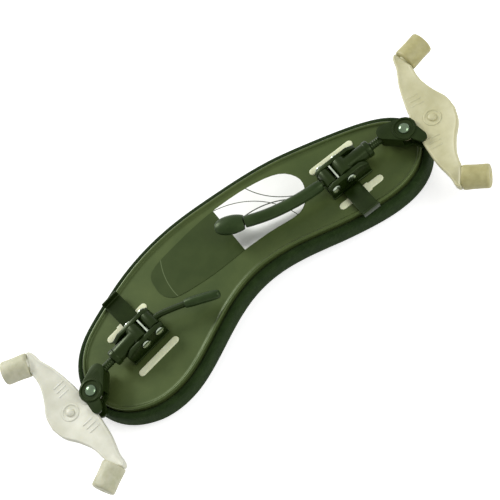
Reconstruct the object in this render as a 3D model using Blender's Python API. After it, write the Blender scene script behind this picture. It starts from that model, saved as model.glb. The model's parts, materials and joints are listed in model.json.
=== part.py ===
"""Violin shoulder rest: an arched plate on a foam pad, with two folding, lever-locked legs.

Frame: +X runs along the plate, +Y towards its convex edge, +Z towards the violin.
The origin is the middle of the bounding box's bottom face. Both legs lie folded outwards.
A leg's own frame has its X axis (u) along the leg, outwards, its Y axis (v) across it and
its Z axis off the plate; its origin lies on the plate's top surface.
"""
import math

import bmesh
import bpy
from mathutils import Matrix, Vector

mm = 0.001

# Pad and plate outline
PAD_LENGTH = 200.8 * mm
LOBE_WIDTH = 70.0 * mm          # widest stretch, towards -X
WAIST_WIDTH = 51.4 * mm
TAIL_WIDTH = 54.6 * mm          # the stretch towards +X
LOBE_REACH = 38.0 * mm          # from the -X end to where the lobe is at its full width
WAIST_X = 8.0 * mm
TAIL_REACH = 55.0 * mm          # from the +X end to where the tail is at its full width
BOW_HEIGHT = 15.5 * mm          # how far the middle bows towards +Y
BOW_BASE = -4.0 * mm            # where the centre line lies at the two ends
BOW_X = -3.0 * mm
BOW_FOOT_LEFT = 19.4 * mm       # from the -X end to where the bow starts
BOW_FOOT_RIGHT = 10.4 * mm
END_BLUNTNESS = 5.0             # exponent of the rounded ends
ARCH_DROP = 5.5 * mm            # the ends lie this much lower than the middle
OUTLINE_POINTS = 64

# Thicknesses and clearances
GAP = 0.3 * mm                  # between pieces that seat on each other
PLATE_THICKNESS = 3.0 * mm
PLATE_INSET = 3.6 * mm          # the pad stands out this far beyond the plate
LIP_WIDTH = 1.5 * mm
LIP_HEIGHT = 1.2 * mm
LIP_SLOPE = 0.6 * mm
PAD_THICKNESS = 10.0 * mm
PAD_ROUND = 3.0 * mm

# Label recess
LABEL_THICKNESS = 0.6 * mm
LABEL_SPLIT_X = 0.3 * mm
LABEL_EDGE = [(-43.5, 15.5), (-40, 24.6), (-22, 27.8), (-1.5, 29.0), (20, 27.2), (35.5, 22.3),
              (41.5, 13), (38.5, 4), (31, -1.6), (15, 0.2), (0, 1.2), (-18, 1.6), (-36, 4.4), (-42, 8.6)]

# Rails, two under each leg
RAIL_LENGTH = 25.0 * mm
RAIL_WIDTH = 3.6 * mm
RAIL_PROUD = 0.5 * mm
RAIL_DEPTH = 0.9 * mm
RAIL_SPACING = 24.6 * mm
PAD_RAIL_WIDTH = 4.8 * mm       # the covered rail's wide middle
PAD_RAIL_LENGTH = 10.0 * mm

# Legs: place on the plate
SIDES = ("left", "right")
LEG_INSET = {"left": 37.6 * mm, "right": 41.4 * mm}        # from the pad's end
LEG_OFFSET = {"left": 1.8 * mm, "right": -0.4 * mm}        # from the plate's centre line
LEG_ANGLE = {"left": math.radians(185), "right": math.radians(0.5)}
SLIDE_TRAVEL = 4.0 * mm         # of the carriage, each way

# Carriage, clamp block and its screw
SHEET = 0.9 * mm
BASE_MARGIN = 0.8 * mm          # of the carriage's base round the block
STRAP_RAMP = 1.6 * mm           # run of the slope from the base up to the strap
SHEET_BEND = 0.8 * mm
SHEET_EDGE = 0.25 * mm          # rounding of thin edges
BLOCK_FRONT = 10.6 * mm
CHEEK_THICKNESS = 2.2 * mm
BLOCK_FLOOR = 1.0 * mm
CHEEK_EDGE = 0.5 * mm
NOSE_RISE = 0.6 * mm            # of the block's front edge above the fold axis
NOSE_RUN = 4.0 * mm
HEEL_RISE = 1.4 * mm            # of its back edge
CHEEK_RISE = 3.0 * mm           # above the fold axis
STRAP_CENTRE = -2.3 * mm
STRAP_WIDTH = 9.2 * mm
STRAP_REACH = 25.8 * mm
STRAP_HEIGHT = 2.0 * mm
TAB_HEIGHT = 4.4 * mm
SCREW_R = 1.2 * mm
SCREW_HEAD_R = 2.2 * mm
SCREW_HEAD = 0.9 * mm
KEEPER_LENGTH = 10.0 * mm
KEEPER_WIDTH = 8.0 * mm
KEEPER_THICKNESS = 1.7 * mm
SCREW_TAIL = 0.6 * mm
SCREW_POINT = 0.4 * mm
KEEPER_EDGE = 0.4 * mm
POCKET_ROOM = 0.6 * mm

# Barrel, pins and lever
KNUCKLE_R = 4.0 * mm
KNUCKLE_GAP = 0.4 * mm
BOSS_INSET = 0.2 * mm            # the boss is this much thinner than the knuckle
BOSS_END = 16.0 * mm
BOSS_COLLAR = 0.35 * mm
BOSS_ROOM = 0.25 * mm           # from the boss's collar to a cheek
FOLD_PIN_R = 1.5 * mm
PIN_HEAD_R = 2.3 * mm
PIN_HEAD = 0.8 * mm
LEVER_PIN_R = 1.4 * mm
HUB_R = 3.2 * mm
ARM_R = 1.5 * mm
GRIP_START = {"left": 0.55, "right": 0.16}                 # share of the arm that is bare
GRIP_R = {"left": 2.6 * mm, "right": 3.1 * mm}
ARM_PATH = {"left": [(-1.5, 0), (-6, 1.0), (-14.6, 5.1), (-22.5, 9.6), (-30.2, 14.6)],
            "right": [(-1.5, 0), (-6, 0.2), (-17, 1.3), (-30, 4.3), (-40.0, 8.2), (-46.0, 11.4)]}
TIP_LENGTH = 14.0 * mm
TIP_R = 5.2 * mm
TIP_FLATNESS = 0.6
TIP_STEPS = 8
ARM_SEGMENTS = 10
GRIP_MOUTH = 0.4 * mm           # the grip's start is this much thinner
CAP_WALL = 0.8 * mm
CAP_REACH = 2.2 * mm
SHOE_THICKNESS = 0.8 * mm
SHOE_HEIGHT = 5.6 * mm

# Rod, bracket and its pin
ROD_R = 2.0 * mm
ROD_START = 5.4 * mm
ROD_SETBACK = 0.6 * mm          # of the rod's end from the bracket's slot
BORE_START = 4.8 * mm
RIB_PITCH = 2.4 * mm
RIB_DEPTH = 0.25 * mm
ROCK_PIN_U = 33.2 * mm
ROCK_PIN_V = 5.2 * mm
ROCK_PIN_R = 1.5 * mm
DOME_R = 2.9 * mm
DOME_HEIGHT = 1.3 * mm
EAR_R = 6.0 * mm
EAR_THICKNESS = 1.4 * mm
EAR_RIM = 0.5 * mm
RIM_WIDTH = 1.0 * mm
RIM_SLOPE = 0.2 * mm
COLLAR_EDGE = 0.4 * mm
TAIL_U = 36.8 * mm
TAIL_V = 14.0 * mm
TAIL_R = 2.6 * mm
COLLAR_R = 3.8 * mm
COLLAR_START = 24.2 * mm
LUG_ROOM = 0.4 * mm             # from the fork's lug to the slot's floor
PIN_SIDE = {"left": 1, "right": -1}     # which side of the rod the rocking pin lies on

# Fork, in its own frame: the origin is on its pin, a points outwards, b runs along the fork
FORK_THICKNESS = 4.0 * mm
FORK_EDGE = 0.6 * mm
FORK_REST = {"left": math.radians(-2.4), "right": math.radians(-13.9)}
FORK_LUG_R = 3.8 * mm
FORK_EYE = 14.0 * mm            # from the pin to the rivet
FORK_INNER = [(3.0, 3.2), (4.6, 6), (5.0, 12), (6.5, 23), (9.0, 32), (9.6, 36.5)]
FORK_OUTER = [(16.4, 28.0), (16.4, 26), (17.4, 20.5), (20.2, 14), (24.2, 7), (25.6, 0)]
PRONG_ROOT = (14.0, 35.0)
PRONG_ANGLE = math.radians(25)
PRONG_R = 2.6 * mm
PRONG_LENGTH = 10.0 * mm
PRONG_BURY = 4.0 * mm           # of its root inside the fork
RIVET_R = 1.2 * mm
RIVET_HEAD_R = 2.1 * mm
RIVET_HEAD = 0.7 * mm
SLEEVE_R = 5.8 * mm
SLEEVE_LENGTH = 13.0 * mm
SLEEVE_ROUND = 0.8 * mm
VENT_R = 0.8 * mm

THROUGH = 20.0 * mm             # a cutter this long passes right through any piece

# Worked out from the sizes above
HALF = PAD_LENGTH / 2
LEVER_U = -(KNUCKLE_R + HUB_R + SHOE_THICKNESS + 2 * GAP)
SHOE_U = (LEVER_U + HUB_R - KNUCKLE_R) / 2
SCREW_U = SHOE_U
BLOCK_BACK = HUB_R - LEVER_U
BOSS_R = KNUCKLE_R - BOSS_INSET
CHEEK_INNER = BOSS_R + BOSS_COLLAR + BOSS_ROOM
WEB_END = ROCK_PIN_U - FORK_LUG_R - LUG_ROOM
ROD_END = WEB_END - ROD_SETBACK
BLOCK_SEAT = GAP + SHEET + GAP
BLOCK_TOP_OF_FLOOR = BLOCK_SEAT + BLOCK_FLOOR
AXIS_Z = BLOCK_TOP_OF_FLOOR + KNUCKLE_GAP + KNUCKLE_R
CHEEK_OUTER = CHEEK_INNER + CHEEK_THICKNESS
KNUCKLE_HALF = CHEEK_INNER - KNUCKLE_GAP
PAD_TOP = -PLATE_THICKNESS - GAP
SLOT_Z = FORK_THICKNESS / 2 + GAP
EAR_Z = SLOT_Z + EAR_THICKNESS

COLOURS = {
    "plate": ((0.075, 0.110, 0.035), 0.42, 0.0), "foam": ((0.016, 0.030, 0.008), 0.95, 0.0),
    "label_dark": ((0.030, 0.045, 0.010), 0.35, 0.0), "label_silver": ((0.85, 0.86, 0.84), 0.3, 0.6),
    "nylon": ((0.60, 0.63, 0.42), 0.5, 0.0), "black_metal": ((0.020, 0.035, 0.010), 0.35, 0.4),
    "steel": ((0.42, 0.50, 0.36), 0.25, 1.0), "rubber": ((0.020, 0.038, 0.014), 0.6, 0.0),
    "fork": ((0.70, 0.69, 0.56), 0.45, 0.0), "sleeve": ((0.62, 0.60, 0.42), 0.6, 0.0)}


# ---------------------------------------------------------------- outline and arch

def ease(t):
    """A smooth step from 0 to 1."""
    t = min(max(t, 0.0), 1.0)
    return (1 - math.cos(math.pi * t)) / 2


def centre_y(x):
    foot = -HALF + BOW_FOOT_LEFT if x < BOW_X else HALF - BOW_FOOT_RIGHT
    return BOW_BASE + BOW_HEIGHT * (1 - ease((x - BOW_X) / (foot - BOW_X)))


def half_width(x):
    lobe_x = -HALF + LOBE_REACH
    tail_x = HALF - TAIL_REACH
    if x < WAIST_X:
        share = ease((x - lobe_x) / (WAIST_X - lobe_x))
        width = LOBE_WIDTH + (WAIST_WIDTH - LOBE_WIDTH) * share
    else:
        share = ease((x - WAIST_X) / (tail_x - WAIST_X))
        width = WAIST_WIDTH + (TAIL_WIDTH - WAIST_WIDTH) * share
    return width / 2 * math.sqrt(max(0.0, 1 - abs(x / HALF) ** END_BLUNTNESS))


def inset_loop(points, inset):
    """Moves a closed anticlockwise loop inwards by the inset."""
    moved = []
    for i, point in enumerate(points):
        along = (points[(i + 1) % len(points)] - points[i - 1]).normalized()
        moved.append(point + Vector((-along.y, along.x)) * inset)
    return moved


def pad_outline(inset=0.0, count=OUTLINE_POINTS):
    points = []
    for i in range(count):
        angle = 2 * math.pi * i / count
        x = HALF * math.cos(angle)
        side = 1 if i <= count / 2 else -1
        points.append(Vector((x, centre_y(x) + side * half_width(x))))
    return inset_loop(points, inset)


def arch_z(x):
    return -ARCH_DROP * (x / HALF) ** 2


def apply_arch(bm):
    for vert in bm.verts:
        vert.co.z += arch_z(vert.co.x)


def spline(points, steps, closed=False):
    """Points of a smooth curve through the given ones."""
    points = [Vector(p) for p in points]
    count = len(points)
    result = []
    for i in range(count if closed else count - 1):
        if closed:
            a, b, c, d = (points[(i + k) % count] for k in (-1, 0, 1, 2))
        else:
            b, c = points[i], points[i + 1]
            a = points[i - 1] if i else b * 2 - c
            d = points[i + 2] if i + 2 < count else c * 2 - b
        for k in range(steps):
            t = k / steps
            result.append(0.5 * (2 * b + (c - a) * t + (2 * a - 5 * b + 4 * c - d) * t ** 2
                                 + (3 * b - a - 3 * c + d) * t ** 3))
    if not closed:
        result.append(points[-1])
    return result


# ---------------------------------------------------------------- mesh helpers

def loft(rings):
    """A closed solid through rings of equal count; the first and last are filled."""
    bm = bmesh.new()
    loops = [[bm.verts.new(point) for point in ring] for ring in rings]
    for lower, upper in zip(loops, loops[1:]):
        for i in range(len(lower)):
            j = (i + 1) % len(lower)
            bm.faces.new((lower[i], lower[j], upper[j], upper[i]))
    bm.faces.new(list(reversed(loops[0])))
    bm.faces.new(loops[-1])
    return bm


def slab_fill(bm, loop, up):
    """Fills a loop of the pad outline with strips that run across the pad."""
    count = len(loop)
    half = count // 2
    for i in range(half):
        corners = [loop[i], loop[i + 1], loop[(count - i - 1) % count], loop[(count - i) % count]]
        corners = list(dict.fromkeys(corners))
        bm.faces.new(corners if up else list(reversed(corners)))


def outline_slab(levels, count):
    """A slab of the pad's outline through (inset, z) levels, from its bottom to its top."""
    bm = bmesh.new()
    loops = []
    for inset, z in levels:
        loops.append([bm.verts.new((p.x, p.y, z)) for p in pad_outline(inset, count)])
    for lower, upper in zip(loops, loops[1:]):
        for i in range(count):
            j = (i + 1) % count
            bm.faces.new((lower[i], lower[j], upper[j], upper[i]))
    slab_fill(bm, loops[0], up=False)
    slab_fill(bm, loops[-1], up=True)
    apply_arch(bm)
    bmesh.ops.triangulate(bm, faces=bm.faces)
    return bm


def prism(outline, low, high):
    """An outline of (x, y) points, extruded along Z."""
    return loft([[(p[0], p[1], low) for p in outline], [(p[0], p[1], high) for p in outline]])


def box(x0, x1, y0, y1, z0, z1):
    return prism([(x0, y0), (x1, y0), (x1, y1), (x0, y1)], z0, z1)


def circle(radius, count, centre=(0.0, 0.0)):
    step = 2 * math.pi / count
    return [(centre[0] + radius * math.cos(step * i), centre[1] + radius * math.sin(step * i))
            for i in range(count)]


def obround(length, width, count=6):
    """A slot shape along X with round ends."""
    reach = (length - width) / 2
    points = []
    for i in range(count + 1):
        angle = -math.pi / 2 + math.pi * i / count
        points.append((reach + width / 2 * math.cos(angle), width / 2 * math.sin(angle)))
    return points + [(-x, -y) for x, y in points]


def turned(profile, segments=14):
    """A solid turned about Z from (radius, z) points that run from its bottom to its top."""
    return loft([[(x, y, z) for x, y in circle(r, segments)] for r, z in profile])


def turned_tube(outer, inner, segments=18):
    """A tube turned about Z: outer points from bottom to top, then inner ones back down."""
    bm = bmesh.new()
    loops = [[bm.verts.new((x, y, z)) for x, y in circle(r, segments)] for r, z in outer + inner]
    for a, b in zip(loops, loops[1:] + loops[:1]):
        for i in range(segments):
            j = (i + 1) % segments
            bm.faces.new((a[i], a[j], b[j], b[i]))
    return bm


def along_path(path, radii, segments, flatness=1.0):
    """Rings of the given radii round a path in the XY plane."""
    rings = []
    for i, (point, radius) in enumerate(zip(path, radii)):
        before = path[max(i - 1, 0)]
        after = path[min(i + 1, len(path) - 1)]
        forward = (after - before).normalized()
        side = Vector((-forward.y, forward.x, 0.0))
        rings.append([point + side * (radius * math.cos(a)) + Vector((0, 0, radius * flatness * math.sin(a)))
                      for a in (2 * math.pi * k / segments for k in range(segments))])
    return rings


def path_sleeve(path, outer, inner, segments):
    """A sleeve round a path, open at the path's start and closed at its end."""
    outside = along_path(path, outer, segments)
    inside = along_path(path[:-1], inner, segments)
    bm = bmesh.new()
    loops = [[bm.verts.new(point) for point in ring] for ring in reversed(inside)]
    loops += [[bm.verts.new(point) for point in ring] for ring in outside]
    for a, b in zip(loops, loops[1:]):
        for i in range(segments):
            j = (i + 1) % segments
            bm.faces.new((a[i], a[j], b[j], b[i]))
    bm.faces.new(list(reversed(loops[0])))
    bm.faces.new(loops[-1])
    return bm


def turn(bm, matrix):
    bmesh.ops.transform(bm, matrix=matrix, verts=bm.verts)
    return bm


def soften(bm, width, segments=1):
    """Rounds the sharp convex edges."""
    bmesh.ops.recalc_face_normals(bm, faces=bm.faces)
    sharp = [e for e in bm.edges if len(e.link_faces) == 2 and e.is_convex
             and e.calc_face_angle(0.0) > math.radians(40)]
    bmesh.ops.bevel(bm, geom=sharp, offset=width, offset_type='OFFSET', segments=segments,
                    profile=0.5, affect='EDGES', clamp_overlap=True)
    return bm


def to_mesh(bm, name):
    bmesh.ops.recalc_face_normals(bm, faces=bm.faces)
    mesh = bpy.data.meshes.new(name)
    bm.to_mesh(mesh)
    bm.free()
    return mesh


def combine(bm, other, operation):
    """Cuts the other solid from this one, or joins it to it."""
    body = bpy.data.objects.new("body", to_mesh(bm, "body"))
    tool = bpy.data.objects.new("tool", to_mesh(other, "tool"))
    for item in (body, tool):
        bpy.context.scene.collection.objects.link(item)
    modifier = body.modifiers.new("combine", 'BOOLEAN')
    modifier.operation = operation
    modifier.object = tool
    result = bmesh.new()
    result.from_object(body, bpy.context.evaluated_depsgraph_get())
    meshes = (body.data, tool.data)
    for item in (body, tool):
        bpy.data.objects.remove(item)
    for mesh in meshes:
        bpy.data.meshes.remove(mesh)
    bmesh.ops.remove_doubles(result, verts=result.verts, dist=1e-6)
    bmesh.ops.dissolve_degenerate(result, dist=1e-6, edges=result.edges)
    return result


def cut(bm, *tools):
    for tool in tools:
        bm = combine(bm, tool, 'DIFFERENCE')
    return bm


def join(bm, *others):
    for other in others:
        bm = combine(bm, other, 'UNION')
    return bm


def material(name):
    if name in bpy.data.materials:
        return bpy.data.materials[name]
    colour, roughness, metallic = COLOURS[name]
    made = bpy.data.materials.new(name)
    made.use_nodes = True
    shader = made.node_tree.nodes["Principled BSDF"]
    shader.inputs["Base Color"].default_value = (*colour, 1)
    shader.inputs["Roughness"].default_value = roughness
    shader.inputs["Metallic"].default_value = metallic
    return made


def piece(name, bm, colour, parent):
    """One sub-part, in its parent's frame."""
    mesh = to_mesh(bm, name)
    mesh.shade_smooth()
    mesh.set_sharp_from_angle(angle=math.radians(35))
    mesh.materials.append(material(colour))
    item = bpy.data.objects.new(name, mesh)
    item.parent = parent
    bpy.context.scene.collection.objects.link(item)
    return item


def axis(name, parent=None, place=None):
    """An empty at a joint's axis."""
    empty = bpy.data.objects.new(name, None)
    empty.empty_display_size = 5 * mm
    empty.parent = parent
    empty.matrix_local = place or Matrix.Identity(4)
    bpy.context.scene.collection.objects.link(empty)
    return empty


# ---------------------------------------------------------------- placement

def leg_place(side):
    """The leg's frame in the plate's frame: on the arch, along the leg."""
    outwards = -1 if side == "left" else 1
    x = outwards * (HALF - LEG_INSET[side])
    y = centre_y(x) + LEG_OFFSET[side]
    slope = -2 * ARCH_DROP * x / HALF ** 2
    tilt = Matrix.Rotation(math.atan(-slope), 4, 'Y')
    return Matrix.Translation((x, y, arch_z(x))) @ tilt @ Matrix.Rotation(LEG_ANGLE[side], 4, 'Z')


def in_leg(side, bm):
    return turn(bm, leg_place(side))


ACROSS = Matrix.Rotation(math.radians(-90), 4, 'X')     # turns Z to Y
ALONG = Matrix.Rotation(math.radians(90), 4, 'Y')       # turns Z to X


def strap_side():
    """The rail under the strap lies at -v, the bare one at +v."""
    return -RAIL_SPACING / 2, RAIL_SPACING / 2


# ---------------------------------------------------------------- shared pieces

def label_outline(inset):
    points = [Vector((x * mm, y * mm)) for x, y in reversed(LABEL_EDGE)]
    return inset_loop(spline(points, 4, closed=True), inset)


def clip_x(points, limit, keep_low):
    """The part of a closed loop on one side of x = limit."""
    def inside(p):
        return p.x <= limit if keep_low else p.x >= limit
    result = []
    for a, b in zip(points, points[1:] + points[:1]):
        if inside(a):
            result.append(a)
        if inside(a) != inside(b):
            result.append(a.lerp(b, (limit - a.x) / (b.x - a.x)))
    return result


def arched_prism(outline, low, high):
    bm = prism(outline, low, high)
    bmesh.ops.triangulate(bm, faces=bm.faces)
    apply_arch(bm)
    return bm


def rail_outline(width_extra, covered):
    """A rail's outline, or its groove's; the covered rail is wider at its middle."""
    outline = obround(RAIL_LENGTH + 2 * width_extra, RAIL_WIDTH + 2 * width_extra)
    if not covered:
        return outline
    reach = PAD_RAIL_LENGTH / 2 + width_extra
    wide = PAD_RAIL_WIDTH / 2 + width_extra
    narrow = RAIL_WIDTH / 2 + width_extra
    half = len(outline) // 2
    step = [(reach, narrow), (reach, wide), (-reach, wide), (-reach, narrow)]
    return outline[:half] + step + outline[half:] + [(-x, -y) for x, y in step]


def rail_body(v, covered, extra, low, high):
    return turn(prism(rail_outline(extra, covered), low, high), Matrix.Translation((0, v, 0)))


def base_plate(parent):
    levels = [(PLATE_INSET, -PLATE_THICKNESS), (PLATE_INSET, LIP_HEIGHT - 0.3 * mm),
              (PLATE_INSET + 0.3 * mm, LIP_HEIGHT),
              (PLATE_INSET + LIP_WIDTH, LIP_HEIGHT), (PLATE_INSET + LIP_WIDTH + LIP_SLOPE, 0.0)]
    bm = outline_slab(levels, OUTLINE_POINTS)
    recess_depth = LABEL_THICKNESS + GAP
    bm = cut(bm, arched_prism(label_outline(0.0), -recess_depth, 1 * mm))
    slot = 2 * (SLIDE_TRAVEL + SCREW_R + GAP)
    for side in SIDES:
        covered_v, bare_v = strap_side()
        for v, covered in ((covered_v, True), (bare_v, False)):
            groove = rail_body(v, covered, GAP, -RAIL_DEPTH - GAP, 2 * mm)
            bm = cut(bm, in_leg(side, groove))
        screw_slot = prism(obround(slot, 2 * (SCREW_R + GAP)), -PLATE_THICKNESS - 2 * mm, 2 * mm)
        bm = cut(bm, in_leg(side, turn(screw_slot, Matrix.Translation((SCREW_U, 0, 0)))))
    piece("base_plate", bm, "plate", parent)


def foam_pad(parent):
    low = PAD_TOP - PAD_THICKNESS
    levels = [(PAD_ROUND, low), (PAD_ROUND * 0.3, low + PAD_ROUND * 0.3), (0.0, low + PAD_ROUND),
              (0.0, PAD_TOP - 1.2 * mm), (0.8 * mm, PAD_TOP)]
    bm = outline_slab(levels, OUTLINE_POINTS // 2)
    reach = KEEPER_LENGTH / 2 + SLIDE_TRAVEL + POCKET_ROOM
    wide = KEEPER_WIDTH / 2 + POCKET_ROOM
    depth = PLATE_THICKNESS + GAP + KEEPER_THICKNESS + SCREW_TAIL + POCKET_ROOM
    for side in SIDES:
        pocket = box(SCREW_U - reach, SCREW_U + reach, -wide, wide, -depth, 0)
        bm = cut(bm, in_leg(side, pocket))
    piece("foam_pad", bm, "foam", parent)


def labels(parent):
    outline = label_outline(GAP)
    low, high = -LABEL_THICKNESS, -0.05 * mm
    for name, keep_low in (("label_dark", True), ("label_silver", False)):
        limit = LABEL_SPLIT_X + (-GAP / 2 if keep_low else GAP / 2)
        piece(name, arched_prism(clip_x(outline, limit, keep_low), low, high), name, parent)


def rails(side, leg):
    covered_v, bare_v = strap_side()
    for name, v, covered in (("covered_rail", covered_v, True), ("bare_rail", bare_v, False)):
        bm = soften(rail_body(v, covered, 0.0, -RAIL_DEPTH, RAIL_PROUD), SHEET_EDGE)
        piece(f"{side}_{name}", bm, "nylon", leg)


# ---------------------------------------------------------------- carriage

def screw_hole(radius):
    return turn(turned([(radius, -10 * mm), (radius, 10 * mm)]), Matrix.Translation((SCREW_U, 0, 0)))


def carriage(side, parent):
    """A bent sheet: a base under the block and a strap over the covered rail."""
    bm = bmesh.new()
    u0, u1 = STRAP_CENTRE - STRAP_WIDTH / 2, STRAP_CENTRE + STRAP_WIDTH / 2
    edge = CHEEK_OUTER + BASE_MARGIN
    columns = (-BLOCK_BACK, u0, u1, BLOCK_FRONT)
    rows = [[bm.verts.new((u, v, GAP)) for u in columns] for v in (-edge, edge)]
    for i in range(3):
        bm.faces.new((rows[0][i], rows[0][i + 1], rows[1][i + 1], rows[1][i]))
    course = [(-edge - STRAP_RAMP, STRAP_HEIGHT), (-STRAP_REACH + SHEET_BEND, STRAP_HEIGHT),
              (-STRAP_REACH, STRAP_HEIGHT + SHEET_BEND), (-STRAP_REACH, STRAP_HEIGHT + TAB_HEIGHT)]
    inner = rows[0][1:3]
    for v, z in course:
        outer = [bm.verts.new((u, v, z)) for u in (u0, u1)]
        bm.faces.new((outer[0], outer[1], inner[1], inner[0]))
        inner = outer
    bmesh.ops.recalc_face_normals(bm, faces=bm.faces)
    if rows[0][0].link_faces[0].normal.z < 0:
        bmesh.ops.reverse_faces(bm, faces=bm.faces)
    bm = thicken(bm, SHEET)
    bm = cut(soften(bm, SHEET_EDGE), screw_hole(SCREW_R + GAP))
    piece(f"{side}_carriage", bm, "black_metal", parent)


def thicken(bm, thickness):
    """Gives a sheet its thickness, on the side its faces point to."""
    mesh = bpy.data.meshes.new("sheet")
    bm.to_mesh(mesh)
    bm.free()
    sheet = bpy.data.objects.new("sheet", mesh)
    bpy.context.scene.collection.objects.link(sheet)
    solid = sheet.modifiers.new("thickness", 'SOLIDIFY')
    solid.thickness = thickness
    solid.offset = 1
    solid.use_even_offset = True
    result = bmesh.new()
    result.from_object(sheet, bpy.context.evaluated_depsgraph_get())
    bpy.data.objects.remove(sheet)
    bpy.data.meshes.remove(mesh)
    return result


def clamp_block(side, parent):
    top = AXIS_Z + CHEEK_RISE
    # The side view, in (u, z), extruded across the block.
    view = [(-BLOCK_BACK, BLOCK_SEAT), (BLOCK_FRONT, BLOCK_SEAT), (BLOCK_FRONT, AXIS_Z + NOSE_RISE),
            (BLOCK_FRONT - NOSE_RUN, top), (LEVER_U, top), (-BLOCK_BACK, AXIS_Z + HEEL_RISE)]
    bm = turn(prism([(u, -z) for u, z in reversed(view)], -CHEEK_OUTER, CHEEK_OUTER), ACROSS)
    bm = soften(bm, CHEEK_EDGE, 2)
    channel = box(-THROUGH, THROUGH, -CHEEK_INNER, CHEEK_INNER, BLOCK_TOP_OF_FLOOR, THROUGH)
    fold_hole = pin_hole(FOLD_PIN_R + GAP, 0.0)
    lever_hole = pin_hole(LEVER_PIN_R + GAP, LEVER_U)
    bm = cut(bm, channel, fold_hole, lever_hole, screw_hole(SCREW_R + GAP))
    piece(f"{side}_clamp_block", bm, "black_metal", parent)


def pin_hole(radius, u):
    hole = turn(turned([(radius, -THROUGH), (radius, THROUGH)]), ACROSS)
    return turn(hole, Matrix.Translation((u, 0, AXIS_Z)))


def carriage_screw(side, parent):
    seat = BLOCK_TOP_OF_FLOOR + GAP
    end = -(PLATE_THICKNESS + GAP + KEEPER_THICKNESS + SCREW_TAIL)
    profile = [(SCREW_R * 0.8, end), (SCREW_R, end + SCREW_POINT), (SCREW_R, seat), (SCREW_HEAD_R, seat),
               (SCREW_HEAD_R, seat + SCREW_HEAD * 0.6), (SCREW_HEAD_R * 0.8, seat + SCREW_HEAD)]
    place = Matrix.Translation((SCREW_U, 0, 0))
    piece(f"{side}_carriage_screw", turn(turned(profile, 12), place), "steel", parent)


def keeper_plate(side, parent):
    high = -PLATE_THICKNESS - GAP
    bm = box(-KEEPER_LENGTH / 2, KEEPER_LENGTH / 2, -KEEPER_WIDTH / 2, KEEPER_WIDTH / 2,
             high - KEEPER_THICKNESS, high)
    bm = turn(soften(bm, KEEPER_EDGE), Matrix.Translation((SCREW_U, 0, 0)))
    piece(f"{side}_keeper_plate", cut(bm, screw_hole(SCREW_R + GAP)), "steel", parent)


def headed_pin(radius, u):
    """A pin through both cheeks with a low head at each end, in the block's frame."""
    seat = CHEEK_OUTER + GAP
    end = seat + PIN_HEAD
    profile = [(PIN_HEAD_R * 0.7, -end), (PIN_HEAD_R, -end + PIN_HEAD * 0.5), (PIN_HEAD_R, -seat),
               (radius, -seat), (radius, seat), (PIN_HEAD_R, seat), (PIN_HEAD_R, end - PIN_HEAD * 0.5),
               (PIN_HEAD_R * 0.7, end)]
    return turn(turn(turned(profile, 12), ACROSS), Matrix.Translation((u, 0, AXIS_Z)))


def lock_shoe(side, parent):
    bm = box(SHOE_U - SHOE_THICKNESS / 2, SHOE_U + SHOE_THICKNESS / 2,
             -CHEEK_INNER + GAP, CHEEK_INNER - GAP, AXIS_Z - SHOE_HEIGHT / 2, AXIS_Z + SHOE_HEIGHT / 2)
    piece(f"{side}_lock_shoe", bm, "steel", parent)


# ---------------------------------------------------------------- barrel and lever

def barrel(side, parent):
    """The knuckle on the fold axis and the boss that the rod slides in."""
    knuckle = turn(turned([(KNUCKLE_R, -KNUCKLE_HALF), (KNUCKLE_R, KNUCKLE_HALF)], 20), ACROSS)
    collar_r = BOSS_R + BOSS_COLLAR
    boss = turned([(BOSS_R, 0), (BOSS_R, BOSS_END - 3 * mm), (collar_r, BOSS_END - 2.6 * mm),
                   (collar_r, BOSS_END - 0.5 * mm), (collar_r - 0.5 * mm, BOSS_END)], 24)
    bore = turned([(ROD_R + GAP, BORE_START), (ROD_R + GAP, BOSS_END + 5 * mm)], 16)
    hole = turn(turned([(FOLD_PIN_R + GAP, -THROUGH), (FOLD_PIN_R + GAP, THROUGH)]), ACROSS)
    bm = cut(join(knuckle, turn(boss, ALONG)), turn(bore, ALONG), hole)
    piece(f"{side}_barrel", bm, "black_metal", parent)


def arm_path(side, steps=3):
    return spline([(x * mm, y * mm, 0.0) for x, y in ARM_PATH[side]], steps)


def lever(side, parent):
    hub = turn(turned([(HUB_R, -KNUCKLE_HALF), (HUB_R, KNUCKLE_HALF)], 24), ACROSS)
    path = arm_path(side)
    arm = loft(along_path(path, [ARM_R] * len(path), ARM_SEGMENTS))
    hole = turn(turned([(LEVER_PIN_R + GAP, -THROUGH), (LEVER_PIN_R + GAP, THROUGH)]), ACROSS)
    # The hole ends inside the hub, so it also trims the arm's root.
    piece(f"{side}_lever", cut(join(hub, arm), hole), "black_metal", parent)


def lever_grip(side, parent):
    path = arm_path(side)
    start = round(GRIP_START[side] * (len(path) - 1))
    course = path[start:]
    end_step = (course[-1] - course[-2]).normalized()
    if side == "left":
        course = course + [course[-1] + end_step * (GAP + CAP_WALL), course[-1] + end_step * CAP_REACH]
    else:
        course = course[:-2]
    radius = GRIP_R[side]
    outer = [radius] * len(course)
    outer[0] = radius - GRIP_MOUTH
    if side == "left":
        outer[-1] = radius * 0.55
        bm = path_sleeve(course, outer, [ARM_R + GAP] * (len(course) - 1), ARM_SEGMENTS)
    else:
        bm = open_sleeve(course, outer, [ARM_R + GAP] * len(course), ARM_SEGMENTS)
    piece(f"{side}_lever_grip", bm, "rubber", parent)


def open_sleeve(path, outer, inner, segments):
    """A sleeve round a path, open at both ends."""
    outside = along_path(path, outer, segments)
    inside = along_path(path, inner, segments)
    bm = bmesh.new()
    loops = [[bm.verts.new(point) for point in ring] for ring in outside + list(reversed(inside))]
    for a, b in zip(loops, loops[1:] + loops[:1]):
        for i in range(segments):
            j = (i + 1) % segments
            bm.faces.new((a[i], a[j], b[j], b[i]))
    return bm


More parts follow.
